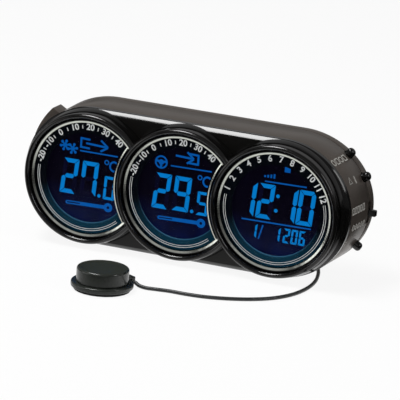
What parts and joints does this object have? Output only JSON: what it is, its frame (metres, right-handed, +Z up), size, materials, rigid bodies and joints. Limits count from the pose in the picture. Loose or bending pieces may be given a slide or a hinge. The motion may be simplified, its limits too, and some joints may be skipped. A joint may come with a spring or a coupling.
{
  "type": "radio-controlled clock",
  "caption": "Free-standing radio-controlled clock: rounded oblong case with overlapping round displays, side keys, light bar, battery compartment and a corded outdoor sensor puck.",
  "frame": {"origin": "centre of the clock's footprint, on the plane its feet stand on; the lead and its sensor are left out of the box", "axes": "+X along the case towards the side keys, +Y from the displays to the battery door, +Z up"},
  "size_m": [0.1554, 0.1543, 0.0595],
  "materials": {
    "gloss_bezel": "glossy black moulded plastic",
    "satin_case": "satin brown-grey lacquer on moulded plastic",
    "gloss_trim": "glossy black moulded trim",
    "tinted_lens": "dark tinted clear lens",
    "mask_film": "black printed film",
    "lcd_panel": "liquid crystal cell",
    "clear_guide": "clear acrylic",
    "circuit_board": "green solder mask on laminate",
    "key_plastic": "black moulded keys",
    "switch_plastic": "black switch bodies",
    "fastener_steel": "plated steel",
    "ferrite": "sintered ferrite rod",
    "copper_winding": "enamelled copper winding",
    "clip_nylon": "natural nylon",
    "cell_jacket": "plain cell jacket",
    "rubber": "black rubber",
    "lead_jacket": "dark grey flexible jacket",
    "sensor_shell": "near-black moulded shell",
    "foam_pad": "adhesive foam"
  },
  "bodies": {
    "clock_body": {"left_lens": "tinted_lens", "left_trim_ring": "gloss_trim", "left_dial_mask": "mask_film", "left_lcd_panel": "lcd_panel", "middle_lens": "tinted_lens", "middle_trim_ring": "gloss_trim", "middle_dial_mask": "mask_film", "middle_lcd_panel": "lcd_panel", "right_lens": "tinted_lens", "right_trim_ring": "gloss_trim", "right_dial_mask": "mask_film", "right_lcd_panel": "lcd_panel", "light_guide": "clear_guide", "front_bezel": "gloss_bezel", "front_housing": "satin_case", "rear_housing": "satin_case", "main_circuit_board": "circuit_board", "switch_board": "circuit_board", "light_switch_board": "circuit_board", "left_board_screw": "fastener_steel", "right_board_screw": "fastener_steel", "lower_left_case_screw": "fastener_steel", "upper_left_case_screw": "fastener_steel", "lower_right_case_screw": "fastener_steel", "upper_right_case_screw": "fastener_steel", "switch_board_screw": "fastener_steel", "light_board_screw": "fastener_steel", "left_battery_contact": "fastener_steel", "right_battery_contact": "fastener_steel", "mode_switch": "switch_plastic", "up_switch": "switch_plastic", "down_switch": "switch_plastic", "colour_switch": "switch_plastic", "light_switch": "switch_plastic", "upper_battery": "cell_jacket", "lower_battery": "cell_jacket", "antenna_rod": "ferrite", "antenna_winding": "copper_winding", "antenna_clip_left": "clip_nylon", "antenna_clip_right": "clip_nylon", "inside_sensor": "switch_plastic", "front_left_foot": "rubber", "front_right_foot": "rubber", "rear_left_foot": "rubber", "rear_right_foot": "rubber", "lead_grommet": "rubber", "sensor_lead": "lead_jacket", "clock_lead": "lead_jacket", "sensor_lead_coil": "lead_jacket", "coil_tie": "rubber", "sensor_base": "sensor_shell", "sensor_cap": "sensor_shell", "sensor_bead": "switch_plastic", "sensor_pad": "foam_pad"},
    "mode_button": {"mode_button": "key_plastic"},
    "up_button": {"up_button": "key_plastic"},
    "down_button": {"down_button": "key_plastic"},
    "colour_lever": {"colour_lever": "key_plastic"},
    "light_bar": {"light_bar": "satin_case"},
    "battery_door": {"battery_door": "satin_case"}
  },
  "joints": [
    {"name": "mode_press", "type": "slide", "parent": "clock_body", "child": "mode_button", "axis": [-0.6947, 0, -0.7193], "range_m": [0, 0.0006], "stiffness_N_per_m": 400},
    {"name": "up_press", "type": "slide", "parent": "clock_body", "child": "up_button", "axis": [-0.9048, 0, -0.4258], "range_m": [0, 0.0006], "stiffness_N_per_m": 400},
    {"name": "down_press", "type": "slide", "parent": "clock_body", "child": "down_button", "axis": [-0.8704, 0, 0.4924], "range_m": [0, 0.0006], "stiffness_N_per_m": 400},
    {"name": "colour_slide", "type": "slide", "parent": "clock_body", "child": "colour_lever", "axis": [0, 0, 1], "range_m": [-0.003, 0.003]},
    {"name": "light_press", "type": "slide", "parent": "clock_body", "child": "light_bar", "axis": [1, 0, 0], "range_m": [0, 0.0006], "stiffness_N_per_m": 600},
    {"name": "door_hinge", "type": "hinge", "parent": "clock_body", "child": "battery_door", "pos_m": [0, 0.01805, 0.01815], "axis": [-1, 0, 0], "range_deg": [0, 75]}
  ]
}
